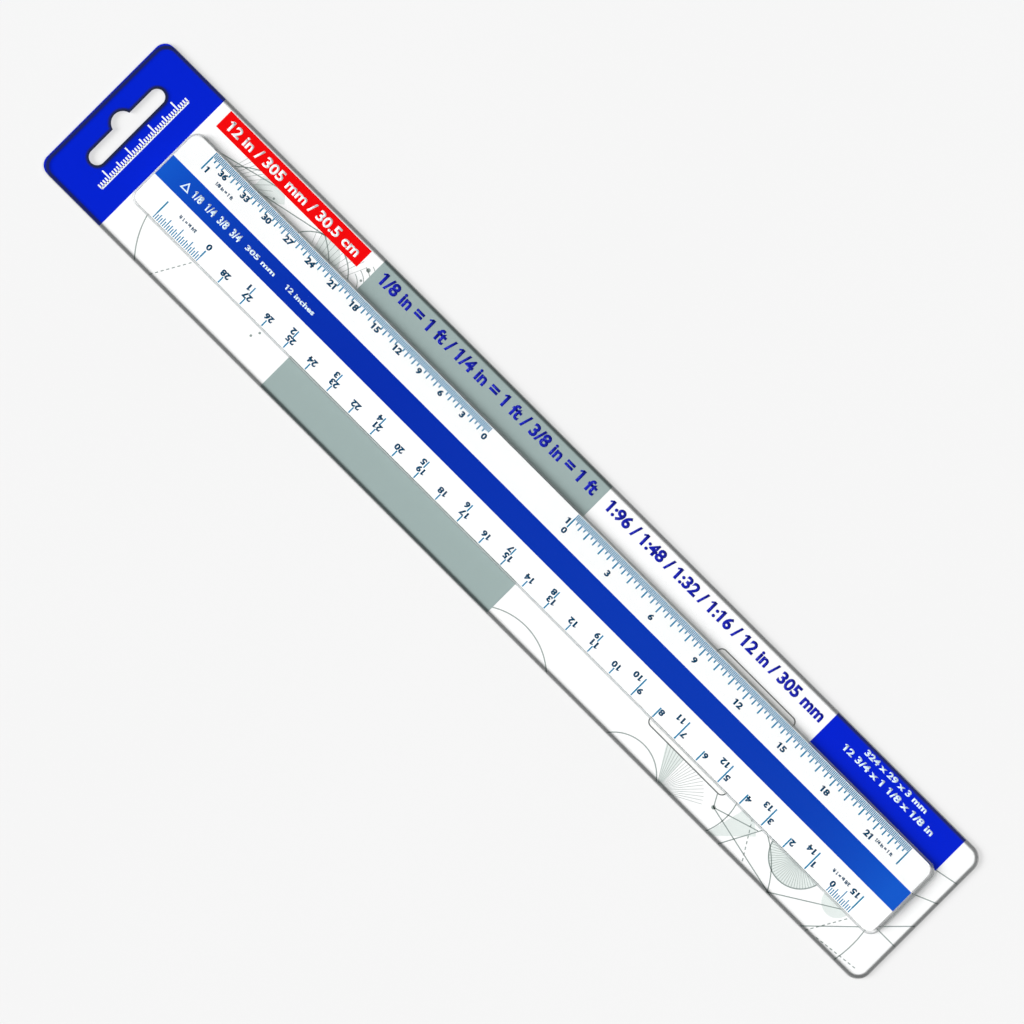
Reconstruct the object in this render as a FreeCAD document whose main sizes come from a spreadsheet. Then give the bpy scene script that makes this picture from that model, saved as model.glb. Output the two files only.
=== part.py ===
import FreeCAD, Part

# A flat drawing scale with four bevelled edges, in the pack it is sold in: a printed board with
# a hanging hole and a square label, and a clear formed sleeve.  The sleeve's folded rails hold
# the board, which draws out of the mouth at the header's end, and its long hood holds the ruler.
#
# Millimetres.  X runs along the pack, the header is at -X, Y runs across it, and +Z is up with
# the pack lying on its back.  The origin is the middle of the footprint, on the table.

import math
import os

import Sketcher

SIZES = {
    # the pack
    "packLength": 360.0,
    "packWidth": 56.4,
    "headerCorner": 3.8,
    "endCorner": 5.2,  # outside of the sleeve's two closed corners
    "boardThickness": 0.6,
    "sideGap": 0.1,  # between the board's edges and back and the clear sheet
    "coverGap": 0.2,  # between the board's face and the clear sheet
    # the hanging hole, a slot with a round nose on its middle
    "slotLength": 31.4,
    "slotWidth": 5.2,
    "slotInset": 11.1,  # from the header's end to the slot's middle line
    "noseRadius": 3.7,
    "noseInset": 9.3,
    # the label on the board, behind the ruler
    "labelSide": 33.5,
    "labelPlace": 92.1,  # its middle, along X
    "labelCorner": 2.0,
    "labelThickness": 0.1,
    # the clear sleeve
    "sheetGauge": 0.35,
    "lipWidth": 4.0,  # how far the folded rails reach under the board
    "foldRadius": 0.7,
    "lipCorner": 0.5,
    "hoodHeadroom": 0.25,
    "hoodSideGap": 0.25,  # beside the ruler, at the hood's root
    "hoodHeaderGap": 0.3,  # between the hood's root and the ruler's end next to the header
    "hoodFarGap": 0.85,  # and at its other end
    "hoodCorner": 3.6,
    "hoodRound": 0.8,
    "hoodRoot": 0.3,
    "hoodDraft": 2.0,  # degrees
    # the ruler
    "rulerLength": 323.5,
    "rulerWidth": 28.6,
    "rulerThickness": 2.8,
    "edgeThickness": 1.0,
    "rulerCorner": 3.0,
    "rulerInset": 27.5,  # from the header's end to the ruler's end
    "rulerEase": 0.15,  # rounding along its edges
    "restGap": 0.1,  # between the label and the ruler that lies on it
    "stripeWidth": 8.2,
    "grooveDepth": 0.3,
    "stripeThickness": 0.25,
}

doc = FreeCAD.newDocument("scale_pack")

sheet = doc.addObject("Spreadsheet::Sheet", "Sizes")
for row, (alias, size) in enumerate(SIZES.items(), start=1):
    sheet.set(f"A{row}", alias)
    sheet.set(f"B{row}", str(size))
    sheet.setAlias(f"B{row}", alias)
doc.recompute()


# places that several parts share, as expressions on the sheet
MOUTH = "(-Sizes.packLength / 2)"
RAIL_HEIGHT = (
    "(2 * Sizes.sheetGauge + Sizes.sideGap + Sizes.boardThickness + Sizes.coverGap)"
)
BOARD_INSET = "(Sizes.sheetGauge + Sizes.sideGap)"
BOARD_BOTTOM = BOARD_INSET
BOARD_TOP = f"({BOARD_BOTTOM} + Sizes.boardThickness)"
RULER_START = f"({MOUTH} + Sizes.rulerInset)"
RULER_END = f"({RULER_START} + Sizes.rulerLength)"
RULER_MIDDLE = (
    f"({BOARD_TOP} + Sizes.labelThickness + Sizes.restGap + Sizes.rulerThickness / 2)"
)
HOOD_TOP = f"({RULER_MIDDLE} + Sizes.rulerThickness / 2 + Sizes.hoodHeadroom + Sizes.sheetGauge)"
OVERRUN = 6.0  # how far the raw skin runs past the mouth before it is trimmed there
PAST = 1.0  # how far a cutter runs past what it cuts
NEAR = 0.01  # places closer than this count as the same


def newBody(name):
    body = doc.addObject("PartDesign::Body", name)
    body.Label = name
    return body


def originPlane(body, role):
    return next(f for f in body.Origin.OriginFeatures if f.Role == role)


def newSketch(body, name, role, lift="0"):
    sketch = body.newObject("Sketcher::SketchObject", name)
    sketch.AttachmentSupport = [(originPlane(body, role), "")]
    sketch.MapMode = "FlatFace"
    sketch.setExpression("AttachmentOffset.Base.z", lift)
    return sketch


def bindPoint(sketch, edge, end, across, up):
    # ties one end of an edge to two expressions, measured from the sketch's origin
    point = sketch.getPoint(edge, end)
    for kind, guess, rule in (("DistanceX", point.x, across), ("DistanceY", point.y, up)):
        number = sketch.addConstraint(Sketcher.Constraint(kind, -1, 1, edge, end, guess))
        sketch.setExpression(f"Constraints[{number}]", rule)


def outlineSketch(body, name, role, lift, corners):
    # a closed outline of straight edges; each corner is a pair of expressions
    sketch = newSketch(body, name, role, lift)
    count = len(corners)
    ring = [
        FreeCAD.Vector(math.cos(2 * math.pi * i / count), math.sin(2 * math.pi * i / count), 0)
        for i in range(count)
    ]
    for i in range(count):
        sketch.addGeometry(Part.LineSegment(ring[i], ring[(i + 1) % count]), False)
    for i in range(count):
        sketch.addConstraint(Sketcher.Constraint("Coincident", i, 2, (i + 1) % count, 1))
    for i, (across, up) in enumerate(corners):
        bindPoint(sketch, i, 1, across, up)
    return sketch


def rectangleSketch(body, name, role, lift, left, right, low, high):
    corners = [(right, low), (right, high), (left, high), (left, low)]
    return outlineSketch(body, name, role, lift, corners)


def circleSketch(body, name, role, lift, across, up, radius):
    sketch = newSketch(body, name, role, lift)
    circle = Part.Circle(FreeCAD.Vector(0, 0, 0), FreeCAD.Vector(0, 0, 1), 1)
    sketch.addGeometry(circle, False)
    bindPoint(sketch, 0, 3, across, up)
    number = sketch.addConstraint(Sketcher.Constraint("Radius", 0, 1))
    sketch.setExpression(f"Constraints[{number}]", radius)
    return sketch


def pad(body, name, sketch, length, draft=None):
    feature = body.newObject("PartDesign::Pad", name)
    feature.Profile = sketch
    feature.setExpression("Length", length)
    if draft:
        feature.setExpression("TaperAngle", draft)
    doc.recompute()
    return feature


def pocket(body, name, sketch, length, upward=True):
    before = body.Shape.Volume
    feature = body.newObject("PartDesign::Pocket", name)
    feature.Profile = sketch
    feature.Reversed = upward
    feature.setExpression("Length", length)
    doc.recompute()
    if feature.Shape.Volume > before - NEAR:
        raise RuntimeError(f"{name} cut nothing")
    return feature


def fillet(body, name, radius, chosen):
    # rounds every edge of the body that the test chooses
    base = body.Tip
    edges = [f"Edge{i}" for i, e in enumerate(base.Shape.Edges, start=1) if chosen(e)]
    if not edges:
        raise RuntimeError(f"{name} found no edges")
    feature = body.newObject("PartDesign::Fillet", name)
    feature.Base = (base, edges)
    feature.setExpression("Radius", radius)
    doc.recompute()
    return feature


def isUpright(edge):
    box = edge.BoundBox
    return box.ZLength > max(box.XLength, box.YLength)


def liesAt(edge, height):
    box = edge.BoundBox
    return abs(box.ZMin - height) < NEAR and abs(box.ZMax - height) < NEAR


def sizeOf(rule):
    # the number an expression gives, read through a property that is bound to it
    probe = doc.getObject("Probe") or doc.addObject("App::FeaturePython", "Probe")
    if "Reading" not in probe.PropertiesList:
        probe.addProperty("App::PropertyFloat", "Reading")
    probe.setExpression("Reading", rule)
    probe.recompute()
    return probe.Reading


# the hanging hole, cut into a body by pockets or built up as a cutter by pads
def hangHole(body, make, bottom, depth):
    middle = f"({MOUTH} + Sizes.slotInset)"
    reach = "((Sizes.slotLength - Sizes.slotWidth) / 2)"
    half = "(Sizes.slotWidth / 2)"
    slot = rectangleSketch(
        body,
        body.Name + "Slot",
        "XY_Plane",
        bottom,
        f"{middle} - {half}",
        f"{middle} + {half}",
        f"-{reach}",
        reach,
    )
    make(body, body.Name + "SlotCut", slot, depth)
    rounds = (
        ("LowEnd", middle, f"-{reach}", half),
        ("HighEnd", middle, reach, half),
        ("Nose", f"{MOUTH} + Sizes.noseInset", "0", "Sizes.noseRadius"),
    )
    for name, along, across, radius in rounds:
        circle = circleSketch(
            body, body.Name + name, "XY_Plane", bottom, along, across, radius
        )
        make(body, body.Name + name + "Cut", circle, depth)


# the printed board, with its hanging hole
def makeBoard():
    body = newBody("backing_card")
    half = f"(Sizes.packWidth / 2 - {BOARD_INSET})"
    right = f"(Sizes.packLength / 2 - {BOARD_INSET})"
    blank = rectangleSketch(
        body, "CardBlank", "XY_Plane", BOARD_BOTTOM, MOUTH, right, f"-{half}", half
    )
    pad(body, "CardPad", blank, "Sizes.boardThickness")
    fillet(
        body, "HeaderCorners", "Sizes.headerCorner", lambda e: isUpright(e) and e.BoundBox.XMax < 0
    )
    fillet(
        body,
        "InnerCorners",
        f"Sizes.endCorner - {BOARD_INSET}",
        lambda e: isUpright(e) and e.BoundBox.XMin > sizeOf(right) - NEAR,
    )
    under = f"{BOARD_BOTTOM} - Sizes.boardThickness / 2"
    hangHole(body, pocket, under, "2 * Sizes.boardThickness")
    return body


# the square label stuck on the board
def makeLabel():
    body = newBody("square_label")
    side = "(Sizes.labelSide / 2)"
    outline = rectangleSketch(
        body,
        "LabelOutline",
        "XY_Plane",
        BOARD_TOP,
        f"Sizes.labelPlace - {side}",
        f"Sizes.labelPlace + {side}",
        f"-{side}",
        side,
    )
    pad(body, "LabelPad", outline, "Sizes.labelThickness")
    fillet(body, "LabelCorners", "Sizes.labelCorner", isUpright)
    return body


# one skin of the sleeve: the flat part that goes round the board, with the hood standing on it.
# The outer skin has no inset, and the inner one lies a sheet's gauge inside it.
def makeSkin(name, inset, overrun):
    body = newBody(name)
    left = f"({MOUTH} - {overrun})"
    right = f"(Sizes.packLength / 2 - {inset})"
    half = f"(Sizes.packWidth / 2 - {inset})"
    flat = rectangleSketch(body, name + "Flat", "XY_Plane", inset, left, right, f"-{half}", half)
    pad(body, name + "FlatPad", flat, f"{RAIL_HEIGHT} - 2 * {inset}")
    farEnd = sizeOf(right)
    fillet(
        body,
        name + "Corners",
        f"Sizes.endCorner - {inset}",
        lambda e: isUpright(e) and e.BoundBox.XMin > farEnd - NEAR,
    )
    fillet(
        body,
        name + "Folds",
        f"Sizes.foldRadius - {inset}",
        lambda e: not isUpright(e) and e.BoundBox.XMax > sizeOf(left) + NEAR,
    )

    across = f"(Sizes.rulerWidth / 2 + Sizes.hoodSideGap + Sizes.sheetGauge - {inset})"
    wall = f"(Sizes.sheetGauge - {inset})"
    hoodLeft = f"({RULER_START} - Sizes.hoodHeaderGap - {wall})"
    hoodRight = f"({RULER_END} + Sizes.hoodFarGap + {wall})"
    start = f"({RAIL_HEIGHT} / 2)"
    foot = rectangleSketch(
        body, name + "Hood", "XY_Plane", start, hoodLeft, hoodRight, f"-{across}", across
    )
    pad(body, name + "HoodPad", foot, f"{HOOD_TOP} - {inset} - {start}", "-Sizes.hoodDraft")
    top, root = sizeOf(f"{HOOD_TOP} - {inset}"), sizeOf(f"{RAIL_HEIGHT} - {inset}")
    fillet(
        body,
        name + "HoodCorners",
        f"Sizes.hoodCorner - {inset}",
        lambda e: e.BoundBox.ZMax > top - NEAR and not liesAt(e, top),
    )
    fillet(
        body,
        name + "HoodRound",
        f"Sizes.hoodRound - {inset}",
        lambda e: liesAt(e, top),
    )
    slack = 0.2  # narrower than the flat that goes round the hood
    widest = sizeOf(across) + slack
    fillet(
        body,
        name + "HoodRoot",
        f"Sizes.hoodRoot + {inset}",
        lambda e: liesAt(e, root)
        and max(abs(e.BoundBox.YMin), abs(e.BoundBox.YMax)) < widest
        and e.BoundBox.XMin > sizeOf(hoodLeft) - slack
        and e.BoundBox.XMax < sizeOf(hoodRight) + slack,
    )
    return body


# the part of the sleeve's underside that is left open, between its folded rails
def makeOpening():
    body = newBody("Opening")
    half = "(Sizes.packWidth / 2 - Sizes.lipWidth)"
    end = "(Sizes.packLength / 2 - Sizes.lipWidth)"
    outline = rectangleSketch(
        body,
        "OpeningOutline",
        "XY_Plane",
        "-Sizes.sheetGauge",
        f"{MOUTH} - {2 * OVERRUN}",
        end,
        f"-{half}",
        half,
    )
    pad(body, "OpeningPad", outline, "3 * Sizes.sheetGauge")
    fillet(
        body,
        "OpeningCorners",
        "Sizes.lipCorner",
        lambda e: isUpright(e) and e.BoundBox.XMin > sizeOf(end) - NEAR,
    )
    return body


# everything right of the mouth, with the header's rounded corners
def makeFootprint():
    body = newBody("Footprint")
    half = "(Sizes.packWidth / 2)"
    outline = rectangleSketch(
        body,
        "FootprintOutline",
        "XY_Plane",
        f"-{PAST}",
        MOUTH,
        f"Sizes.packLength / 2 + {PAST}",
        f"-{half}",
        half,
    )
    pad(body, "FootprintPad", outline, f"{HOOD_TOP} + 2 * {PAST}")
    fillet(
        body,
        "FootprintCorners",
        "Sizes.headerCorner",
        lambda e: isUpright(e) and e.BoundBox.XMax < 0,
    )
    return body


def boolean(kind, name, base, tool):
    result = doc.addObject(kind, name)
    result.Label = name
    result.Base = base
    result.Tool = tool
    doc.recompute()
    return result


# the clear sleeve: outer skin less inner skin, opened under the board, trimmed at its mouth and
# punched with the board's hanging hole
def makeSleeve():
    outer = makeSkin("OuterSkin", "0", str(OVERRUN))
    inner = makeSkin("InnerSkin", "Sizes.sheetGauge", str(2 * OVERRUN))
    shell = boolean("Part::Cut", "Shell", outer, inner)
    railed = boolean("Part::Cut", "RailedShell", shell, makeOpening())
    trimmed = boolean("Part::Common", "TrimmedShell", railed, makeFootprint())
    punch = newBody("Punch")
    hangHole(punch, pad, f"-{PAST}", f"{RAIL_HEIGHT} + 2 * {PAST}")
    return boolean("Part::Cut", "clear_sleeve", trimmed, punch)


# the white body of the ruler: a flat ridge front and back, and a bevel from it to each edge
def makeRuler():
    body = newBody("ruler_body")
    edge = "(Sizes.rulerWidth / 2)"
    ridge = "(Sizes.stripeWidth / 2 + Sizes.grooveDepth)"
    thick = "(Sizes.rulerThickness / 2)"
    thin = "(Sizes.edgeThickness / 2)"
    corners = []
    for side, height, out in (
        (1, -1, 0), (1, -1, 1), (1, 1, 1), (1, 1, 0), (-1, 1, 0), (-1, 1, 1), (-1, -1, 1), (-1, -1, 0)
    ):
        across = edge if out else ridge
        up = thin if out else thick
        corners.append((f"{side} * {across}", f"{RULER_MIDDLE} + {height} * {up}"))
    section = outlineSketch(body, "RulerSection", "YZ_Plane", RULER_START, corners)
    pad(body, "RulerPad", section, "Sizes.rulerLength")
    widest = sizeOf(edge) - NEAR
    fillet(
        body,
        "RulerCorners",
        "Sizes.rulerCorner",
        lambda e: isUpright(e) and max(abs(e.BoundBox.YMin), abs(e.BoundBox.YMax)) > widest,
    )
    fillet(
        body,
        "RulerEase",
        "Sizes.rulerEase",
        lambda e: abs(e.BoundBox.YMin) > widest
        and e.BoundBox.YLength < NEAR
        and e.BoundBox.XLength > e.BoundBox.ZLength,
    )
    for name, height in (("FrontGroove", 1), ("BackGroove", -1)):
        face = f"({RULER_MIDDLE} + {height} * {thick})"
        floor = f"({face} - {height} * Sizes.grooveDepth)"
        groove = rectangleSketch(
            body,
            name + "Outline",
            "YZ_Plane",
            f"{RULER_START} - {PAST}",
            "-Sizes.stripeWidth / 2",
            "Sizes.stripeWidth / 2",
            floor,
            f"{face} + {height} * {PAST}",
        )
        pocket(body, name, groove, f"Sizes.rulerLength + 2 * {PAST}")
    return body


# a coloured strip that lies in a groove, just below the ridge
def makeStripe(name, height):
    body = newBody(name)
    floor = (
        f"({RULER_MIDDLE} + {height} * (Sizes.rulerThickness / 2 - Sizes.grooveDepth))"
    )
    section = rectangleSketch(
        body,
        name + "Section",
        "YZ_Plane",
        RULER_START,
        "-Sizes.stripeWidth / 2",
        "Sizes.stripeWidth / 2",
        floor,
        f"{floor} + {height} * Sizes.stripeThickness",
    )
    pad(body, name + "Pad", section, "Sizes.rulerLength")
    return body


def writeParts(parts):
    doc.recompute()
    for thing in doc.Objects:
        if {"Invalid", "Error"} & set(thing.State):
            raise RuntimeError(f"{thing.Label} failed: {thing.State}")
    os.makedirs("parts", exist_ok=True)
    for part in parts:
        shape = part.Shape
        if shape.isNull() or not shape.isValid() or not shape.Solids:
            raise RuntimeError(f"{part.Label} has no valid shape")
        shape.exportStep(f"parts/{part.Label}.step")
        box = shape.optimalBoundingBox(False)
        print(
            f"{part.Label}: {len(shape.Solids)} solid, {shape.Volume:.1f} mm3,",
            f"x {box.XMin:.2f} {box.XMax:.2f}, y {box.YMin:.2f} {box.YMax:.2f},",
            f"z {box.ZMin:.2f} {box.ZMax:.2f}",
        )


writeParts(
    [
        makeBoard(),
        makeLabel(),
        makeSleeve(),
        makeRuler(),
        makeStripe("blue_stripe_front", 1),
        makeStripe("blue_stripe_back", -1),
    ]
)
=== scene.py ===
import math

import bpy
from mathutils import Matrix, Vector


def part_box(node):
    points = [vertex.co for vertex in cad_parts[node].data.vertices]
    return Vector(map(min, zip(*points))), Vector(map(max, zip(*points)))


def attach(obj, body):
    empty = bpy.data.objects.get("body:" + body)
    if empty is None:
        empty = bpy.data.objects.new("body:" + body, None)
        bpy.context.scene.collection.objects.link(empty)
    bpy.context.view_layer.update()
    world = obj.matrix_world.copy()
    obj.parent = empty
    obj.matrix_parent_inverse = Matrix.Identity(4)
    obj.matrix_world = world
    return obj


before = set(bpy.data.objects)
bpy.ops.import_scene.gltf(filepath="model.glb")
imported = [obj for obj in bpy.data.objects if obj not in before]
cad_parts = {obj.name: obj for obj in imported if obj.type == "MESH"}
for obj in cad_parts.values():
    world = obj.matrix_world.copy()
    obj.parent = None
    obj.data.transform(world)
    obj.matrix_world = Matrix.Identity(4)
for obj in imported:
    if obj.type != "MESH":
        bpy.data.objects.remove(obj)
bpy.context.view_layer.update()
print("frame loaded")

scene = bpy.context.scene
mm = 0.001


# places taken from the frame

cardLow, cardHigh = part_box("backing_card")
labelLow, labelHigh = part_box("square_label")
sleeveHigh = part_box("clear_sleeve")[1]
rulerLow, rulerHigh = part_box("ruler_body")
stripeLow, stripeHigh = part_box("blue_stripe_front")

mouth = cardLow.x  # the header's end of the pack
farEnd = sleeveHigh.x
rulerMiddle = (rulerLow.z + rulerHigh.z) / 2


# camera, floor and light

cameraSetup = {
    "lens": 400.0,  # mm
    "sensor": 36.0,
    "field": 317.8 * mm,  # how much of the table it takes in
    "roll": 45.0,  # degrees: the header lies to the upper left
}

floorSetup = {
    "size": 4.0,
    "drop": 0.02 * mm,
    "glow": 0.55,
    "tones": ((0.285, 0.285, 0.285), (0.3, 0.3, 0.3)),
    "grain": 6.0,
    "roughness": 0.9,
    "specular": 0.1,
}

lightSetup = {
    # name: strength in W per square metre, how wide it looks, azimuth, elevation
    "keyLight": (4.3, 32.0, 224.0, 36.0),
    "fillLight": (1.25, 36.0, 40.0, 62.0),
}

skyTones = [
    # how high in the sky, from 0 at the horizon to 1 overhead, and how bright
    (0.05, 0.91),
    (0.16, 0.4),
    (0.75, 0.02),
]


def addCamera(setup):
    bpy.ops.object.camera_add(rotation=(0, 0, math.radians(setup["roll"])))
    camera = bpy.context.object
    camera.name = "topCamera"
    camera.data.lens = setup["lens"]
    camera.data.sensor_width = setup["sensor"]
    camera.location.z = setup["field"] * setup["lens"] / setup["sensor"]
    scene.camera = camera


def addFloor(setup):
    bpy.ops.mesh.primitive_plane_add(size=setup["size"], location=(0, 0, -setup["drop"]))
    floor = bpy.context.object
    floor.name = "floor"
    floor.data.materials.append(floorMaterial(setup))


def addLights(setup):
    for name, (strength, width, azimuth, elevation) in setup.items():
        aim = (0, math.radians(90 - elevation), math.radians(azimuth))
        bpy.ops.object.light_add(type="SUN", location=(0, 0, 1), rotation=aim)
        light = bpy.context.object
        light.name = name
        light.data.energy = strength
        light.data.angle = math.radians(width)


def addSky(tones):
    # pale walls all round and a dim ceiling
    sky = bpy.data.worlds.new("studio")
    sky.use_nodes = True
    scene.world = sky
    tree = sky.node_tree
    where = tree.nodes.new("ShaderNodeTexCoord")
    split = tree.nodes.new("ShaderNodeSeparateXYZ")
    ramp = tree.nodes.new("ShaderNodeValToRGB")
    steps = ramp.color_ramp.elements
    steps.remove(steps[1])
    for count, (height, tone) in enumerate(tones):
        step = steps.new(height) if count else steps[0]
        step.position = height
        step.color = (tone, tone, tone, 1)
    tree.links.new(where.outputs["Generated"], split.inputs[0])
    tree.links.new(split.outputs["Z"], ramp.inputs[0])
    tree.links.new(ramp.outputs[0], tree.nodes["Background"].inputs["Color"])


# helpers for materials

def newMaterial(name):
    material = bpy.data.materials.new(name)
    material.use_nodes = True
    tree = material.node_tree
    tree.nodes.clear()
    output = tree.nodes.new("ShaderNodeOutputMaterial")
    return material, tree, output


def work(tree, operation, *values, clamp=False):
    # one Math node; each value is a number or another node's output
    made = tree.nodes.new("ShaderNodeMath")
    made.operation = operation
    made.use_clamp = clamp
    for socket, value in zip(made.inputs, values):
        if isinstance(value, (int, float)):
            socket.default_value = value
        else:
            tree.links.new(value, socket)
    return made.outputs[0]


def ownPlace(tree):
    return tree.nodes.new("ShaderNodeTexCoord").outputs["Object"]


def splitPlace(tree, where):
    split = tree.nodes.new("ShaderNodeSeparateXYZ")
    tree.links.new(where, split.inputs[0])
    return split.outputs


even = (1, 1, 1)  # a grain that is stretched no way


def grain(tree, where, stretch, scale, detail=3.0):
    mapping = tree.nodes.new("ShaderNodeMapping")
    mapping.inputs["Scale"].default_value = stretch
    noise = tree.nodes.new("ShaderNodeTexNoise")
    noise.inputs["Scale"].default_value = scale
    noise.inputs["Detail"].default_value = detail
    tree.links.new(where, mapping.inputs["Vector"])
    tree.links.new(mapping.outputs[0], noise.inputs["Vector"])
    return noise.outputs["Fac"]


def blendColour(tree, amount, first, second):
    # first where amount is 0, second where it is 1
    mix = tree.nodes.new("ShaderNodeMix")
    mix.data_type = "RGBA"
    for socket, value in zip((mix.inputs[0], mix.inputs[6], mix.inputs[7]), (amount, first, second)):
        if isinstance(value, tuple):
            socket.default_value = (*value, 1)
        elif isinstance(value, float):
            socket.default_value = value
        else:
            tree.links.new(value, socket)
    return mix.outputs[2]


def shaded(tree, amount, colour, shade):
    # a colour that darkens to a share of itself where the amount is 1
    return blendColour(tree, amount, colour, tuple(part * shade for part in colour))


def between(tree, value, low, high):
    # 0 below low, 1 above high, a ramp in between
    made = tree.nodes.new("ShaderNodeMapRange")
    made.inputs["From Min"].default_value = low
    made.inputs["From Max"].default_value = high
    tree.links.new(value, made.inputs["Value"])
    return made.outputs[0]


def bump(tree, height, distance, strength):
    made = tree.nodes.new("ShaderNodeBump")
    made.inputs["Distance"].default_value = distance
    made.inputs["Strength"].default_value = strength
    tree.links.new(height, made.inputs["Height"])
    return made.outputs[0]


def surface(tree, output, colour, roughness, specular, normal=None):
    shader = tree.nodes.new("ShaderNodeBsdfPrincipled")
    for name, value in (("Base Color", colour), ("Roughness", roughness), ("Normal", normal)):
        if value is None:
            continue
        if isinstance(value, tuple):
            shader.inputs[name].default_value = (*value, 1)
        elif isinstance(value, float):
            shader.inputs[name].default_value = value
        else:
            tree.links.new(value, shader.inputs[name])
    shader.inputs["Specular IOR Level"].default_value = specular
    tree.links.new(shader.outputs[0], output.inputs["Surface"])
    return shader


def roundedBoxDistance(tree, along, across, centre, half, corner):
    # how far outside a rounded rectangle a place is; below 0 inside it
    overX = work(tree, "SUBTRACT", along, centre[0])
    overX = work(tree, "SUBTRACT", work(tree, "ABSOLUTE", overX), half[0] - corner)
    overY = work(tree, "SUBTRACT", across, centre[1])
    overY = work(tree, "SUBTRACT", work(tree, "ABSOLUTE", overY), half[1] - corner)
    outX, outY = work(tree, "MAXIMUM", overX, 0.0), work(tree, "MAXIMUM", overY, 0.0)
    reach = work(tree, "ADD", work(tree, "MULTIPLY", outX, outX), work(tree, "MULTIPLY", outY, outY))
    inside = work(tree, "MINIMUM", work(tree, "MAXIMUM", overX, overY), 0.0)
    reach = work(tree, "ADD", work(tree, "SQRT", reach), inside)
    return work(tree, "SUBTRACT", reach, corner)


def line(tree, distance, middle, width, softness):
    # 1 on a line at a distance from an outline, fading over the softness
    away = work(tree, "ABSOLUTE", work(tree, "SUBTRACT", distance, middle))
    off = between(tree, away, width / 2, width / 2 + softness)
    return work(tree, "SUBTRACT", 1.0, off, clamp=True)


# colours and finishes

colours = {
    "cardWhite": (0.88, 0.885, 0.885),
    "cardCore": (0.62, 0.6, 0.56),
    "cardBack": (0.72, 0.72, 0.7),
    "headerBlue": (0.0006, 0.0145, 0.56),
    "bandGrey": (0.315, 0.395, 0.385),
    "barRed": (0.8, 0.002, 0.003),
    "letterBlue": (0.008, 0.014, 0.37),
    "artGrey": (0.25, 0.3, 0.285),
    "artWash": (0.7, 0.75, 0.73),
    "rulerWhite": (0.9, 0.91, 0.91),
    "stripeDeep": (0.0005, 0.0205, 0.36),
    # the paler blue of the painted sheen on the stripe
    "stripeSheenBlue": (0.004, 0.085, 0.52),
    "tickInk": (0.001, 0.19, 0.36),
    "numeralInk": (0.004, 0.056, 0.125),
    "whiteInk": (0.85, 0.88, 0.9),
    "paleInk": (0.68, 0.82, 0.92),
    # painted shade for the clear sheet: its folded rim and the edges of its hole, then the root of
    # its hood
    "paintedEdgeShade": (0.014, 0.02, 0.02),
    "paintedRootShade": (0.54, 0.57, 0.57),
}


# In each look, roughness is a number, or the two values of a grain that stand for 0 and 1,
# a bump is a depth and a strength, and a grain is a stretch, a scale and a level of detail.

def floorMaterial(setup):
    material, tree, output = newMaterial("palePaper")
    tone = grain(tree, ownPlace(tree), even, setup["grain"])
    colour = blendColour(tree, tone, *setup["tones"])
    shader = surface(tree, output, colour, setup["roughness"], setup["specular"])
    shader.inputs["Emission Color"].default_value = (1, 1, 1, 1)
    shader.inputs["Emission Strength"].default_value = setup["glow"]
    return material


cardLook = {
    "fibre": 900.0,
    "cloud": 40.0,
    "whiteShade": 0.985,
    "backShade": 0.9,
    "coreShade": 0.8,
    "blueShade": 0.96,
    "skin": 0.02 * mm,  # how deep the colours of its two faces go
    "roughness": (-1.5, 8.5),
    "specular": 0.08,
    "bump": (0.002 * mm, 0.05),
}


def cardMaterial(look):
    # white coated board, blue at the header, bare on the back and at its cut edges
    material, tree, output = newMaterial("printedBoard")
    where = ownPlace(tree)
    place = splitPlace(tree, where)
    fibre = grain(tree, where, even, look["fibre"])
    cloud = grain(tree, where, even, look["cloud"])
    white = shaded(tree, cloud, colours["cardWhite"], look["whiteShade"])
    back = shaded(tree, fibre, colours["cardBack"], look["backShade"])
    core = shaded(tree, fibre, colours["cardCore"], look["coreShade"])
    blue = shaded(tree, cloud, colours["headerBlue"], look["blueShade"])
    header = work(tree, "LESS_THAN", place["X"], mouth + cardPrint["headerLength"])
    front = work(tree, "GREATER_THAN", place["Z"], cardHigh.z - look["skin"])
    rear = work(tree, "LESS_THAN", place["Z"], cardLow.z + look["skin"])
    printed = blendColour(tree, header, white, blue)
    reverse = blendColour(tree, header, back, blue)
    colour = blendColour(tree, front, core, printed)
    colour = blendColour(tree, rear, colour, reverse)
    rough = between(tree, fibre, *look["roughness"])
    surface(tree, output, colour, rough, look["specular"], bump(tree, fibre, *look["bump"]))
    return material


inkLook = {
    "film": 700.0,
    "shade": 0.95,
    "roughness": (-1.5, 8.5),
    "specular": 0.08,
    "bump": (0.002 * mm, 0.05),
}


def printMaterial(name, colour, look=inkLook):
    # printing ink: a little uneven in depth, and satin
    material, tree, output = newMaterial(name)
    film = grain(tree, ownPlace(tree), even, look["film"])
    tone = shaded(tree, film, colour, look["shade"])
    rough = between(tree, film, *look["roughness"])
    surface(tree, output, tone, rough, look["specular"], bump(tree, film, *look["bump"]))
    return material


labelLook = {
    "fibre": (even, 1200.0, 5.0),
    "tones": ((0.8, 0.8, 0.79), (0.84, 0.84, 0.83)),
    "corner": 2.0 * mm,
    "rim": (0.13, 0.14, 0.14),
    "rimWidth": 0.7 * mm,
    "rimSoftness": 0.12 * mm,
    "roughness": 0.7,
    "specular": 0.3,
    "bump": (0.01 * mm, 0.3),
}


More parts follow.
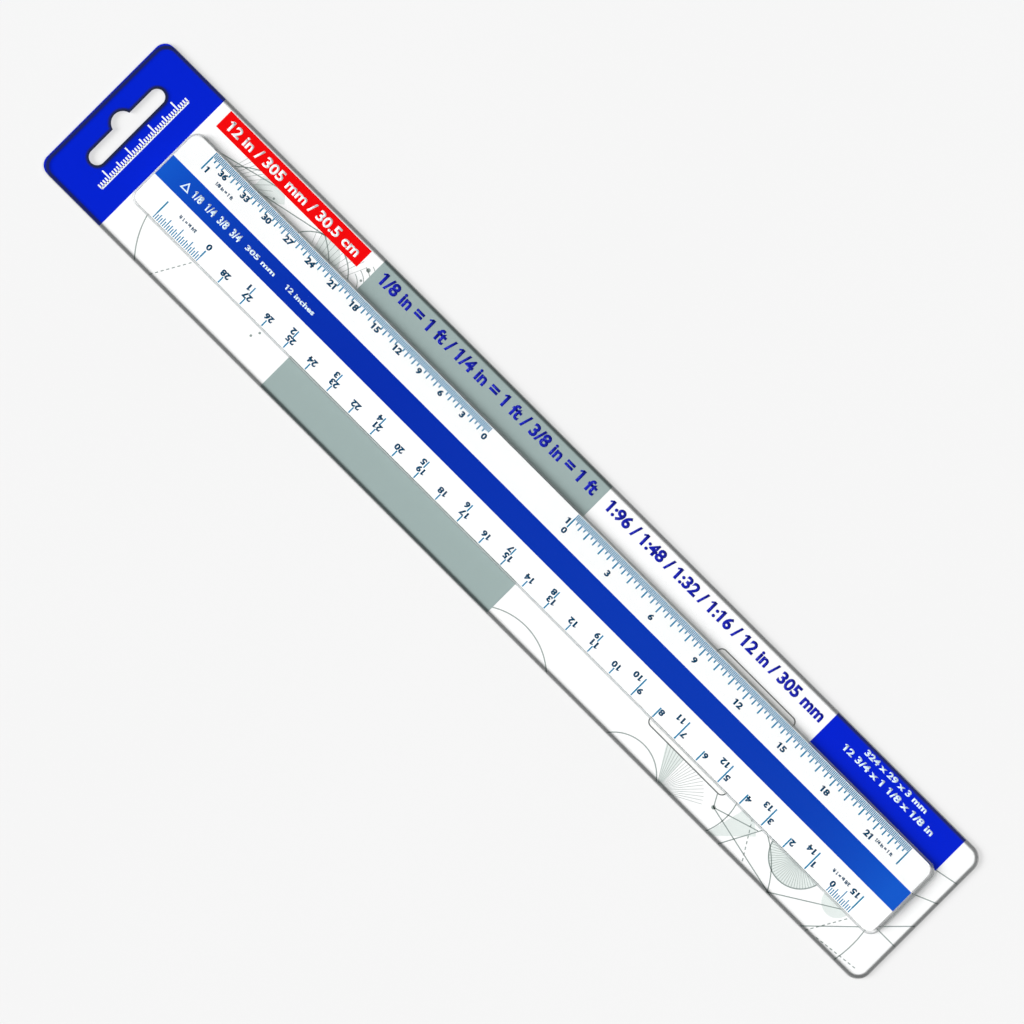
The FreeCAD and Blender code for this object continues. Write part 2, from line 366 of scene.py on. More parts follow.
def labelMaterial(look):
    # plain paper with a thin grey outline
    material, tree, output = newMaterial("labelPaper")
    where = ownPlace(tree)
    place = splitPlace(tree, where)
    fibre = grain(tree, where, *look["fibre"])
    paper = blendColour(tree, fibre, *look["tones"])
    centre = ((labelLow.x + labelHigh.x) / 2, 0.0)
    half = ((labelHigh.x - labelLow.x) / 2, (labelHigh.y - labelLow.y) / 2)
    edge = roundedBoxDistance(tree, place["X"], place["Y"], centre, half, look["corner"])
    rim = line(tree, edge, 0.0, look["rimWidth"], look["rimSoftness"])
    colour = blendColour(tree, rim, paper, look["rim"])
    fine = bump(tree, fibre, *look["bump"])
    surface(tree, output, colour, look["roughness"], look["specular"], fine)
    return material


rulerLook = {
    "skin": ((0.35, 1, 1), 1500.0, 2.0),
    "flow": ((0.08, 1, 1), 120.0, 4.0),
    "shade": 0.975,
    "roughness": (-2.2, 4.2),
    "specular": 0.3,
    "bump": (0.006 * mm, 0.2),
}


def rulerMaterial(look):
    # white moulded plastic with a faint satin skin
    material, tree, output = newMaterial("whitePlastic")
    where = ownPlace(tree)
    skin = grain(tree, where, *look["skin"])
    flow = grain(tree, where, *look["flow"])
    colour = shaded(tree, flow, colours["rulerWhite"], look["shade"])
    rough = between(tree, skin, *look["roughness"])
    surface(tree, output, colour, rough, look["specular"], bump(tree, skin, *look["bump"]))
    return material


stripeLook = {
    "lines": ((0.02, 1, 1), 2500.0, 2.0),
    "cloud": ((0.5, 1, 1), 30.0),
    # the painted sheen: paler towards both ends, and rising towards the far end
    "endPower": 6.5,  # the higher, the nearer to its ends it starts to pale
    "riseFrom": -60 * mm,  # from its middle, towards the header
    "riseTo": 40 * mm,
    "rise": 0.16,
    "mottle": 0.08,
    "roughness": (-1.5, 7.5),
    "specular": 0.15,
    "bump": (0.002 * mm, 0.04),
}


def stripeMaterial(look):
    # blue extruded strip: fine lines along it, and a painted sheen that makes it paler towards its
    # two ends and towards the far end
    material, tree, output = newMaterial("bluePlastic")
    where = ownPlace(tree)
    along = splitPlace(tree, where)["X"]
    lines = grain(tree, where, *look["lines"])
    cloud = grain(tree, where, *look["cloud"])
    centre = (stripeLow.x + stripeHigh.x) / 2
    half = (stripeHigh.x - stripeLow.x) / 2
    # the painted sheen: paler towards both ends and more so towards the far end, with a random mottle
    # on top
    out = work(tree, "ABSOLUTE", work(tree, "SUBTRACT", along, centre))
    ends = work(tree, "POWER", work(tree, "DIVIDE", out, half), look["endPower"])
    rise = between(tree, along, centre + look["riseFrom"], centre + look["riseTo"])
    rise = work(tree, "MULTIPLY", rise, look["rise"])
    mottle = work(tree, "MULTIPLY", cloud, look["mottle"])
    paintedSheen = work(tree, "ADD", work(tree, "ADD", ends, rise), mottle, clamp=True)
    colour = blendColour(tree, paintedSheen, colours["stripeDeep"], colours["stripeSheenBlue"])
    rough = between(tree, lines, *look["roughness"])
    surface(tree, output, colour, rough, look["specular"], bump(tree, lines, *look["bump"]))
    return material


sleeveLook = {
    # where and how dense the painted shade lies: along the folded rim, at the root of the hood's wall
    # and round the hole
    "rimMiddle": -0.92 * mm,  # where the fold reads darkest, from the outline
    "rimWidth": 0.6 * mm,
    "rimSoftness": 0.55 * mm,
    "rimDensity": 0.4,
    "rootWidth": 0.3 * mm,
    "rootSoftness": 0.3 * mm,
    "rootDensity": 0.6,
    "rootHeight": 0.7 * mm,  # above the card
    "holeWidth": 0.3 * mm,
    "holeSoftness": 0.95 * mm,
    "holeDensity": 0.6,
    "haze": 0.002,
    "faceOn": 0.02,  # how much it mirrors seen square on
    "edgeOn": 0.4,  # and how much more seen edge on
    "facingBlend": 0.5,
    "glancePower": 5.0,
    "polish": 0.06,
    "foldRoughness": 0.25,
    "ripple": (even, 60.0, 2.0),
    "rippleBump": (0.02 * mm, 0.3),
    "cornerRadius": 5.2 * mm,
    "hoodCorner": 3.6 * mm,
    "slotHalfWidth": 2.6 * mm,
    "slotReach": 13.1 * mm,
    "slotInset": 11.1 * mm,
    "noseRadius": 3.7 * mm,
    "noseInset": 9.3 * mm,
    "hoodSide": 0.4 * mm,  # from the ruler to the middle of the hood's wall
    "hoodHeaderEnd": 0.4 * mm,
    "hoodFarEnd": 1.1 * mm,
}


def sleeveMaterial(look):
    # clear formed sheet: the light goes through it, with painted grey shade along its folds, at the
    # root of its hood and round the cut edges of its hole
    material, tree, output = newMaterial("clearSheet")
    where = ownPlace(tree)
    place = splitPlace(tree, where)
    x, y = place["X"], place["Y"]
    middle = ((mouth + farEnd) / 2, 0.0)
    # painted shade along the folded rim
    rim = roundedBoxDistance(
        tree, x, y, middle, ((farEnd - mouth) / 2, sleeveHigh.y), look["cornerRadius"]
    )
    rim = line(tree, rim, look["rimMiddle"], look["rimWidth"], look["rimSoftness"])
    # painted shade at the root of the hood's wall, kept to its lower part near the card
    hoodLeft, hoodRight = rulerLow.x - look["hoodHeaderEnd"], rulerHigh.x + look["hoodFarEnd"]
    root = roundedBoxDistance(
        tree, x, y, ((hoodLeft + hoodRight) / 2, 0.0),
        ((hoodRight - hoodLeft) / 2, rulerHigh.y + look["hoodSide"]), look["hoodCorner"],
    )
    root = line(tree, root, 0.0, look["rootWidth"], look["rootSoftness"])
    low = work(tree, "LESS_THAN", place["Z"], cardHigh.z + look["rootHeight"])
    root = work(tree, "MULTIPLY", root, low)
    tone = blendColour(tree, root, colours["paintedEdgeShade"], colours["paintedRootShade"])
    # painted shade round the cut edges of the hanging slot and its nose
    slot = roundedBoxDistance(
        tree, x, y, (mouth + look["slotInset"], 0.0),
        (look["slotHalfWidth"], look["slotReach"] + look["slotHalfWidth"]), look["slotHalfWidth"],
    )
    nose = roundedBoxDistance(
        tree, x, y, (mouth + look["noseInset"], 0.0),
        (look["noseRadius"], look["noseRadius"]), look["noseRadius"],
    )
    hole = work(tree, "MINIMUM", slot, nose)
    hole = line(tree, hole, 0.0, look["holeWidth"] * 2, look["holeSoftness"])
    # how much of the painted shade shows, plus a little even haze
    shadeAndHaze = work(tree, "MULTIPLY", rim, look["rimDensity"])
    shadeAndHaze = work(tree, "MAXIMUM", shadeAndHaze, work(tree, "MULTIPLY", root, look["rootDensity"]))
    shadeAndHaze = work(tree, "MAXIMUM", shadeAndHaze, work(tree, "MULTIPLY", hole, look["holeDensity"]))
    shadeAndHaze = work(tree, "ADD", shadeAndHaze, look["haze"], clamp=True)

    wave = bump(tree, grain(tree, where, *look["ripple"]), *look["rippleBump"])
    clear = tree.nodes.new("ShaderNodeBsdfTransparent")
    gloss = tree.nodes.new("ShaderNodeBsdfGlossy")
    gloss.inputs["Roughness"].default_value = look["polish"]
    tree.links.new(wave, gloss.inputs["Normal"])
    facing = tree.nodes.new("ShaderNodeLayerWeight")
    facing.inputs["Blend"].default_value = look["facingBlend"]
    glance = work(tree, "POWER", facing.outputs["Facing"], look["glancePower"])
    glance = work(tree, "MULTIPLY_ADD", glance, look["edgeOn"], look["faceOn"])
    sheen = tree.nodes.new("ShaderNodeMixShader")
    tree.links.new(glance, sheen.inputs[0])
    tree.links.new(clear.outputs[0], sheen.inputs[1])
    tree.links.new(gloss.outputs[0], sheen.inputs[2])
    # the grey of the painted shade, mixed over the clear sheet
    paintedShade = tree.nodes.new("ShaderNodeBsdfPrincipled")
    tree.links.new(tone, paintedShade.inputs["Base Color"])
    paintedShade.inputs["Roughness"].default_value = look["foldRoughness"]
    whole = tree.nodes.new("ShaderNodeMixShader")
    tree.links.new(shadeAndHaze, whole.inputs[0])
    tree.links.new(sheen.outputs[0], whole.inputs[1])
    tree.links.new(paintedShade.outputs[0], whole.inputs[2])
    tree.links.new(whole.outputs[0], output.inputs["Surface"])
    return material


# helpers for flat printed shapes

figureHeight = 0.68  # of the font's figures, at its own size

oneFlag = {
    # the stroke on the figure 1, in shares of its height
    "left": 0.055,
    "down": 0.155,
    "length": 0.3,
    "width": 0.14,
    "lean": 40,  # degrees
    "stemWidth": 0.3,  # a bare stem is narrower
    "stemHeight": 0.9,  # and taller
    "plumb": 1e-4,  # two corners this close in x make an upright side
}

inkFilm = {"lift": 0.003 * mm, "thickness": 0.01 * mm, "dropFrom": 20 * mm}


def selectOnly(*things):
    bpy.ops.object.select_all(action="DESELECT")
    for thing in things:
        thing.select_set(True)
    bpy.context.view_layer.objects.active = things[0]


def addBar(centre, size, turn=0.0):
    # a flat bar, given by its middle and its two sides
    bpy.ops.object.select_all(action="DESELECT")
    bpy.ops.mesh.primitive_plane_add(size=1, location=(*centre, 0), rotation=(0, 0, turn))
    bar = bpy.context.object
    bar.scale = (*size, 1)
    bpy.ops.object.transform_apply(location=True, rotation=True, scale=True)
    return bar


def repeat(thing, step, count):
    selectOnly(thing)
    row = thing.modifiers.new("row", "ARRAY")
    row.use_relative_offset = False
    row.use_constant_offset = True
    row.constant_offset_displace = (step, 0, 0)
    row.count = count
    bpy.ops.object.modifier_apply(modifier=row.name)
    return thing


def flagOnes(text, tall):
    # the font's figure 1 is a bare stem, so each one gets a flag
    selectOnly(text)
    bpy.ops.mesh.separate(type="LOOSE")
    parts = list(bpy.context.selected_objects)
    flags = []
    for part in parts:
        corners = [vertex.co for vertex in part.data.vertices]
        left, right = min(c.x for c in corners), max(c.x for c in corners)
        low, high = min(c.y for c in corners), max(c.y for c in corners)
        slender = right - left < oneFlag["stemWidth"] * (high - low)
        stem = len(corners) == 4 and slender and high - low > oneFlag["stemHeight"] * tall
        if stem and sum(abs(c.x - left) < oneFlag["plumb"] for c in corners) == 2:
            place = (left - oneFlag["left"] * tall, high - oneFlag["down"] * tall)
            size = (oneFlag["length"] * tall, oneFlag["width"] * tall)
            flags.append(addBar(place, size, math.radians(oneFlag["lean"])))
    selectOnly(*parts, *flags)
    if len(parts) + len(flags) > 1:
        bpy.ops.object.join()
    return bpy.context.object


def addText(words, place, tall, wide=None, bold=0.0, turn=0.0, spread=1.0):
    # flat lettering of a given height and width, centred on its place
    bpy.ops.object.select_all(action="DESELECT")
    bpy.ops.object.text_add(location=(0, 0, 0))
    text = bpy.context.object
    text.data.body = words
    text.data.resolution_u = 3
    text.data.offset = bold
    bpy.ops.object.convert(target="MESH")
    text = bpy.context.object
    if "1" in words:
        text = flagOnes(text, figureHeight + 2 * bold)
    bpy.ops.object.origin_set(type="ORIGIN_GEOMETRY", center="BOUNDS")
    fit = tall / text.dimensions.y
    fitAcross = wide / text.dimensions.x if wide else fit * spread
    text.scale = (fitAcross, fit, fit)
    text.rotation_euler = (0, 0, turn)
    text.location = (*place, 0)
    bpy.ops.object.transform_apply(location=True, rotation=True, scale=True)
    return text


def joinAs(name, parts):
    selectOnly(*parts)
    if len(parts) > 1:
        bpy.ops.object.join()
    whole = bpy.context.object
    whole.name = name
    whole.data.name = name
    return whole


def layFlat(thing, height, thickness):
    # puts a flat shape at its height and gives it the thickness of a film of ink
    selectOnly(thing)
    thing.location.z = height
    bpy.ops.object.transform_apply(location=True, rotation=False, scale=False)
    film = thing.modifiers.new("film", "SOLIDIFY")
    film.thickness = thickness
    film.offset = 1
    bpy.ops.object.modifier_apply(modifier=film.name)


def pressOnto(thing, target, lift, thickness):
    # drops a flat shape straight down onto a node and gives it a film's thickness
    selectOnly(thing)
    thing.location.z = inkFilm["dropFrom"]
    bpy.ops.object.transform_apply(location=True, rotation=False, scale=False)
    drop = thing.modifiers.new("drop", "SHRINKWRAP")
    drop.target = target
    drop.wrap_method = "PROJECT"
    drop.use_project_z = True
    drop.use_negative_direction = True
    drop.use_positive_direction = False
    drop.offset = lift
    bpy.ops.object.modifier_apply(modifier=drop.name)
    film = thing.modifiers.new("film", "SOLIDIFY")
    film.thickness = thickness
    film.offset = 1
    bpy.ops.object.modifier_apply(modifier=film.name)


def finishPiece(thing, body, material):
    thing.data.materials.clear()
    thing.data.materials.append(material)
    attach(thing, body)


# the ruler's graduations

inch = 25.4 * mm
edge = rulerHigh.y
firstTick = -143.4 * mm

# Depths are measured in from the scale's edge, and an offset is from the tick it names.

upperLeft = {
    "unit": inch / 8,
    "zero": firstTick + 4.75 * inch,
    "units": 38,
    "divisions": 6,
    "every": 3,
    "fine": 2.1 * mm,
    "half": 3.1 * mm,
    "whole": 3.9 * mm,
    "endTick": 7.2 * mm,
    "numeralRow": 3.85 * mm,
    "endNumeral": (1.3 * mm, 6.1 * mm),  # offset and depth
    "words": (9.9 * mm, 7.0 * mm),
}

upperRight = {
    "unit": inch / 4,
    "zero": firstTick + 6.25 * inch,
    "units": 23,
    "divisions": 12,
    "every": 3,
    "fine": 2.1 * mm,
    "quarter": 3.1 * mm,
    "half": 4.0 * mm,
    "whole": 4.75 * mm,
    "zeroTick": 5.6 * mm,
    "endTick": 7.3 * mm,
    "numeralRow": 6.85 * mm,
    "zeroNumeral": (-1.4 * mm, 3.85 * mm),
    "words": (-6.4 * mm, 6.3 * mm),
}

lowerScales = {
    "coarseUnit": inch * 3 / 4,
    "coarseZero": firstTick + inch * 3 / 4,
    "coarseUnits": 15,
    "coarseRow": 6.0 * mm,
    "coarseZeroRow": 5.9 * mm,
    "coarseTwelfth": 2.7 * mm,
    "coarseQuarter": 3.6 * mm,
    "coarseHalf": 4.2 * mm,
    "coarseEndTick": 7.0 * mm,
    "coarseZeroTick": 4.4 * mm,
    "coarseWords": 9.2 * mm,
    "coarseTop": 7.2 * mm,
    "coarseFoot": 4.55 * mm,
    "finerUnit": inch * 3 / 8,
    "finerZero": firstTick + 12 * inch - inch * 3 / 8,
    "finerUnits": 28,
    "finerRow": 3.5 * mm,
    "finerZeroRow": 3.1 * mm,
    "finerQuarter": 3.1 * mm,
    "finerHalf": 4.7 * mm,
    "finerWords": 0.4 * mm,
    "shortTick": 2.5 * mm,
    "sideTick": 4.1 * mm,
    "fine": 2.1 * mm,
    "wordsRow": 6.4 * mm,
    "lastSingle": 9,  # numbers up to this one have a single figure
    "besideFiner": 1.2 * mm,  # from a long tick to the number beside it
    "besideSingle": 1.3 * mm,
    "besideDouble": 2.5 * mm,
}

easedEdge = 0.2 * mm  # the ruler's edge is rounded, so ticks start inside it
tickWidth = 0.34 * mm
longTick = 0.46 * mm
boldTick = 0.5 * mm
numeralTall = 2.1 * mm
numeralSpread = 1.25  # the numerals are wider than the font's own
numeralBold = 0.05
wordsTall = 1.2 * mm


def tickRow(side, start, step, count, low, high, width=tickWidth):
    # ticks between two depths from an edge; side is +1 for the upper edge and -1 for the lower
    low = max(low, easedEdge)
    middle = side * (edge - (low + high) / 2)
    bar = addBar((start, middle), (width, high - low))
    return repeat(bar, step, count) if count > 1 else bar


def numeral(number, place, side):
    turn = 0.0 if side > 0 else math.pi
    return addText(str(number), place, numeralTall, bold=numeralBold, turn=turn, spread=numeralSpread)


def scaleWords(words, place, turn=0.0):
    return addText(words, place, wordsTall, bold=numeralBold, turn=turn)


def upperLeftScale(scale):
    unit, zero, units = scale["unit"], scale["zero"], scale["units"]
    end = zero - unit * units
    fineStep = unit / scale["divisions"]
    ticks = [
        tickRow(1, end, fineStep, units * scale["divisions"] + 1, 0, scale["fine"]),
        tickRow(1, end + unit / 2, unit, units, scale["fine"], scale["half"], longTick),
    ]
    numbered = range(0, units, scale["every"])
    for count in range(1, units):
        if count % scale["every"]:
            place = zero - unit * count
            ticks.append(tickRow(1, place, unit, 1, scale["fine"], scale["whole"], longTick))
    ticks.append(tickRow(1, end, unit, 1, scale["fine"], scale["endTick"], boldTick))
    row = edge - scale["numeralRow"]
    numerals = [numeral(number, (zero - unit * number, row), 1) for number in numbered]
    offset, depth = scale["endNumeral"]
    numerals.append(numeral(1, (end + offset, edge - depth), 1))
    offset, depth = scale["words"]
    words = scaleWords("1/8 in = 1 ft", (end + offset, edge - depth))
    return ticks, numerals + [words]


def upperRightScale(scale):
    unit, zero, units = scale["unit"], scale["zero"], scale["units"]
    end = zero + unit * units
    fineStep = unit / scale["divisions"]
    ticks = [
        tickRow(1, zero, fineStep, units * scale["divisions"] + 1, 0, scale["fine"]),
        tickRow(1, zero + unit / 4, unit / 2, units * 2, scale["fine"], scale["quarter"], longTick),
        tickRow(1, zero + unit / 2, unit, units, scale["fine"], scale["half"], longTick),
        tickRow(1, zero + unit, unit, units - 1, scale["fine"], scale["whole"], boldTick),
        tickRow(1, zero, unit, 1, scale["fine"], scale["zeroTick"], boldTick),
        tickRow(1, end, unit, 1, scale["fine"], scale["endTick"], boldTick),
    ]
    row = edge - scale["numeralRow"]
    numbered = range(0, units, scale["every"])
    numerals = [numeral(number, (zero + unit * number, row), 1) for number in numbered]
    offset, depth = scale["zeroNumeral"]
    numerals.append(numeral(1, (zero + offset, edge - depth), 1))
    offset, depth = scale["words"]
    words = scaleWords("1/4 in = 1 ft", (end + offset, edge - depth))
    return ticks, numerals + [words]


def coarseBlock(scale):
    # the divided foot at the left end of the lower edge
    start = firstTick
    twelfth = scale["coarseUnit"] / 12
    fine, short = scale["fine"], scale["coarseTwelfth"]
    return [
        tickRow(-1, start, twelfth / 2, 25, 0, fine),
        tickRow(-1, start + twelfth, twelfth, 11, fine, short),
        tickRow(-1, start + 3 * twelfth, 6 * twelfth, 2, short, scale["coarseQuarter"]),
        tickRow(-1, start + 6 * twelfth, twelfth, 1, short, scale["coarseHalf"]),
        tickRow(-1, start, twelfth, 1, fine, scale["coarseEndTick"], boldTick),
        tickRow(-1, scale["coarseZero"], twelfth, 1, fine, scale["coarseZeroTick"], boldTick),
    ]


def finerBlock(scale):
    # the divided foot at the right end of the lower edge
    start = scale["finerZero"]
    end = start + scale["finerUnit"]
    twelfth = scale["finerUnit"] / 12
    fine = scale["fine"]
    return [
        tickRow(-1, start, twelfth, 13, 0, fine),
        tickRow(-1, start + 3 * twelfth, 6 * twelfth, 2, fine, scale["finerQuarter"]),
        tickRow(-1, start + 6 * twelfth, twelfth, 1, fine, scale["finerHalf"]),
        tickRow(-1, end, twelfth, 1, fine, scale["coarseTop"], boldTick),
    ]


def lowerScale(scale):
    ticks = coarseBlock(scale) + finerBlock(scale)
    numerals = [numeral(0, (scale["coarseZero"], -edge + scale["coarseZeroRow"]), -1)]
    numerals.append(numeral(0, (scale["finerZero"], -edge + scale["finerZeroRow"]), -1))
    foot, top = scale["coarseFoot"], scale["coarseTop"]
    for count in range(1, scale["finerUnits"] + 1):
        place = scale["finerZero"] - count * scale["finerUnit"]
        meets = count % 2 == 1 and count < scale["finerUnits"]  # a tick of the coarser scale
        if count > scale["lastSingle"]:
            ticks.append(tickRow(-1, place, 0, 1, 0, scale["shortTick"], longTick))
            numerals.append(numeral(count, (place, -edge + scale["finerRow"]), -1))
            if meets:
                ticks.append(tickRow(-1, place, 0, 1, foot, top, longTick))
        else:
            ticks.append(tickRow(-1, place, 0, 1, 0, top if meets else scale["sideTick"], boldTick))
            beside = (place + scale["besideFiner"], -edge + scale["finerZeroRow"])
            numerals.append(numeral(count, beside, -1))
    for count in range(1, scale["coarseUnits"] + 1):
        place = scale["coarseZero"] + count * scale["coarseUnit"]
        single = count <= scale["lastSingle"]
        place -= scale["besideSingle"] if single else scale["besideDouble"]
        numerals.append(numeral(count, (place, -edge + scale["coarseRow"]), -1))
    for words, place in (
        ("3/4 in = 1 ft", firstTick + scale["coarseWords"]),
        ("3/8 in = 1 ft", scale["finerZero"] + scale["finerWords"]),
    ):
        numerals.append(scaleWords(words, (place, -edge + scale["wordsRow"]), math.pi))
    return ticks, numerals


stripePrint = {
    "squareMiddle": (-142.6 * mm, -0.4 * mm),
    "squareRadius": 2.0 * mm,
    "squareLine": 0.42 * mm,
    "bold": 0.035,
    "figures": [
        # words, middle, height and width; sizes in mm
        ("1/8  1/4  3/8  3/4", (-129.4, 0.1), 2.7, 20.5),
        ("305 mm", (-110.2, 0.0), 1.7, 12.5),
        ("12 inches", (-93.0, 0.0), 1.7, 12.5),
    ],
}


def stripeLettering(look):
    # plain white figures where a maker would print a name, with a set square beside them
    bpy.ops.object.select_all(action="DESELECT")
    bpy.ops.mesh.primitive_circle_add(
        vertices=3, radius=look["squareRadius"], fill_type="NGON", location=(*look["squareMiddle"], 0)
    )
    square = bpy.context.object
    bpy.ops.object.mode_set(mode="EDIT")
    bpy.ops.mesh.inset(thickness=look["squareLine"])
    bpy.ops.mesh.delete(type="FACE")
    bpy.ops.object.mode_set(mode="OBJECT")
    bpy.ops.object.transform_apply(location=True, rotation=True, scale=True)
    parts = [square]
    for words, (x, y), tall, wide in look["figures"]:
        parts.append(addText(words, (x * mm, y * mm), tall * mm, wide * mm, bold=look["bold"]))
    return parts


def turnToBack(thing, name):
    # the same print on the ruler's other face, turned over about its long axis
    selectOnly(thing)
    bpy.ops.object.duplicate()
    copy = bpy.context.object
    copy.name = name
    copy.data.name = name
    copy.rotation_euler = (math.pi, 0, 0)
    copy.location = (0, 0, 2 * rulerMiddle)
    bpy.ops.object.transform_apply(location=True, rotation=True, scale=True)
    return copy


def printRuler():
    body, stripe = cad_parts["ruler_body"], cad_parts["blue_stripe_front"]
    ticks, numerals = [], []
    for some, others in (
        upperLeftScale(upperLeft), upperRightScale(upperRight), lowerScale(lowerScales)
    ):
        ticks += some
        numerals += others
    tickInk = printMaterial("tickInk", colours["tickInk"])
    numeralInk = printMaterial("numeralInk", colours["numeralInk"])
    paleInk = printMaterial("paleInk", colours["paleInk"])
    for name, parts, target, ink in (
        ("ruler_ticks", ticks, body, tickInk),
        ("ruler_numerals", numerals, body, numeralInk),
        ("stripe_figures", stripeLettering(stripePrint), stripe, paleInk),
    ):
        piece = joinAs(name + "_front", parts)
        pressOnto(piece, target, inkFilm["lift"], inkFilm["thickness"])
        finishPiece(piece, "ruler", ink)
        finishPiece(turnToBack(piece, name + "_back"), "ruler", ink)


# the card's print

cardPrint = {
    "headerLength": 26.7 * mm,
    "artHeight": cardHigh.z + 0.002 * mm,
    "panelHeight": cardHigh.z + 0.014 * mm,
    "letterHeight": cardHigh.z + 0.026 * mm,
    "film": 0.01 * mm,
    "margin": 0.15 * mm,  # bare board at its cut edges
}

panels = {
    # name: left, right, low, high, colour
    "grey_band": (-82.9 * mm, 16.6 * mm, cardLow.y, cardHigh.y, "bandGrey"),
    "red_bar": (-149.6 * mm, -87.9 * mm, 19.7 * mm, 26.4 * mm, "barRed"),
    "blue_corner": (115.7 * mm, 171.6 * mm, 14.2 * mm, cardHigh.y, "headerBlue"),
}

lettering = {
    # name: words, middle, height, width, boldness, colour; sizes in mm
    "bar_figures": ("12 in / 305 mm / 30.5 cm", (-118.8, 23.05), 3.6, 57.0, 0.03, "whiteInk"),
    "band_figures": (
        "1/8 in = 1 ft / 1/4 in = 1 ft / 3/8 in = 1 ft", (-33.2, 23.0), 4.4, 94.5, 0.04, "letterBlue"
    ),
    "white_figures": (
        "1:96 / 1:48 / 1:32 / 1:16 / 12 in / 305 mm", (66.3, 23.0), 4.4, 94.5, 0.04, "letterBlue"
    ),
    "corner_figures_upper": (
        "324 x 29 x 3 mm", (143.5, 25.2), 2.1, 26.5, 0.04, "paleInk"
    ),
    "corner_figures_lower": (
        "12 3/4 x 1 1/8 x 1/8 in", (143.5, 21.6), 2.3, 39.0, 0.035, "paleInk"
    ),
}


def printPanels():
    for name, (left, right, low, high, colour) in panels.items():
        low = max(low, cardLow.y + cardPrint["margin"])
        high = min(high, cardHigh.y - cardPrint["margin"])
        bar = addBar(((left + right) / 2, (low + high) / 2), (right - left, high - low))
        panel = joinAs(name, [bar])
        layFlat(panel, cardPrint["panelHeight"], cardPrint["film"])
        finishPiece(panel, "card", printMaterial(name + "_ink", colours[colour]))


def printLettering():
    for name, (words, middle, tall, wide, bold, colour) in lettering.items():
        text = addText(words, (middle[0] * mm, middle[1] * mm), tall * mm, wide * mm, bold=bold)
        text = joinAs(name, [text])
        layFlat(text, cardPrint["letterHeight"], cardPrint["film"])
        finishPiece(text, "card", printMaterial(name + "_ink", colours[colour]))


headerRule = {
    "base": -160.9 * mm,
    "baseWidth": 0.7 * mm,
    "reach": 19.0 * mm,
    "tickWidth": 0.5 * mm,
    "step": 1.0 * mm,
    "small": 1.7 * mm,
    "medium": 2.7 * mm,
    "large": 3.9 * mm,
    "firstLarge": 4,
    "largeEvery": 10,
    "mediumEvery": 5,
}


def printHeader(rule):
    # a plain row of ruler ticks where a maker would print a name
    parts = [addBar((rule["base"], 0), (rule["baseWidth"], 2 * rule["reach"]))]
    count = round(2 * rule["reach"] / rule["step"])
    for place in range(count + 1):
        past = place - rule["firstLarge"]
        high = rule["small"]
        if past % rule["mediumEvery"] == 0:
            high = rule["medium"]
        if past % rule["largeEvery"] == 0:
            high = rule["large"]
        across = rule["step"] * place - rule["reach"]
        parts.append(addBar((rule["base"] - high / 2, across), (high, rule["tickWidth"])))
    ticks = joinAs("header_rule", parts)
    layFlat(ticks, cardPrint["letterHeight"], cardPrint["film"])
    finishPiece(ticks, "card", printMaterial("header_rule_ink", colours["whiteInk"]))


# drafting lines on the card

artRings = [
    # centre x, centre y, radius, line width, from angle, to angle; lengths in mm
    (-116.0, -7.0, 30.2, 0.34, 180, 300),
    (-116.0, -7.0, 30.2, 0.34, 30, 150),
    (-97.5, 8.0, 12.5, 0.34, 20, 170),
    (-88.0, 13.0, 5.0, 0.22, -30, 75),
    (-88.0, 13.0, 7.0, 0.22, -30, 75),
    (-88.0, 13.0, 9.0, 0.22, -30, 75),
    (-88.0, 13.0, 11.0, 0.22, -20, 70),
    (28.0, -44.0, 22.0, 0.34, 20, 160),
    (80.0, -35.5, 13.4, 0.34, 20, 160),
    (95.0, -20.0, 19.0, 0.34, -60, 40),
    (139.0, -12.3, 10.0, 0.4, 180, 360),
    (112.0, -42.0, 31.0, 0.34, 20, 75),
    (132.0, -20.0, 37.6, 0.34, -40, 30),
]

artWashes = [
    # filled discs: centre x, centre y, radius, from angle, to angle
    (139.0, -12.3, 9.8, 180, 360),
    (92.5, -29.5, 16.0, 92, 122),
    (112.5, -29.5, 17.0, 44, 76),
    (157.0, -14.2, 5.0, 190, 350),
    (-128.0, 10.0, 13.0, 35, 92),
    (-100.0, 12.0, 9.0, 20, 110),
]

artFans = [
    # spokes: centre x, centre y, inner radius, outer radius, from angle, to angle, spokes
    (139.0, -12.3, 1.6, 9.8, 184, 356, 33),
    (92.5, -29.5, 2.5, 15.0, 28, 120, 21),
    (-96.0, -2.0, 15.0, 26.0, 66, 112, 11),
    (-140.0, 4.0, 10.0, 22.0, 34, 74, 9),
]

artChords = [
    # straight lines: from x, y to x, y
    (109.0, -20.6, 124.0, -16.0),
    (109.0, -20.6, 141.0, -27.6),
    (109.0, -20.6, 106.5, -16.0),
    (118.0, -27.6, 125.0, -14.5),
    (139.0, -27.6, 160.0, -14.5),
    (154.0, -27.6, 167.5, -14.5),
    (171.4, 14.4, 179.4, 16.0),
    (171.4, 4.0, 179.4, 7.4),
    (171.4, -10.5, 179.4, -2.4),
    (171.4, -11.4, 179.4, -11.4),
    (-150.0, 13.0, -122.0, 20.0),
    (-126.0, 14.5, -100.0, 20.0),
]

artDashes = [
    # dashed lines: from x, y to x, y
    (-131.7, -27.4, -124.4, -14.5),
    (120.0, -14.5, 128.0, -27.5),
    (156.0, -27.5, 163.5, -14.5),
    (160.0, -26.6, 177.5, -24.6),
]

artDots = [
    # centre x, centre y, radius
    (-94.6, -16.1, 0.42),
    (-96.0, -18.6, 0.42),
    (109.0, -20.6, 0.7),
    (-84.5, 21.5, 0.7),
    (-83.9, 17.6, 0.4),
    (-121.0, 16.5, 0.4),
]

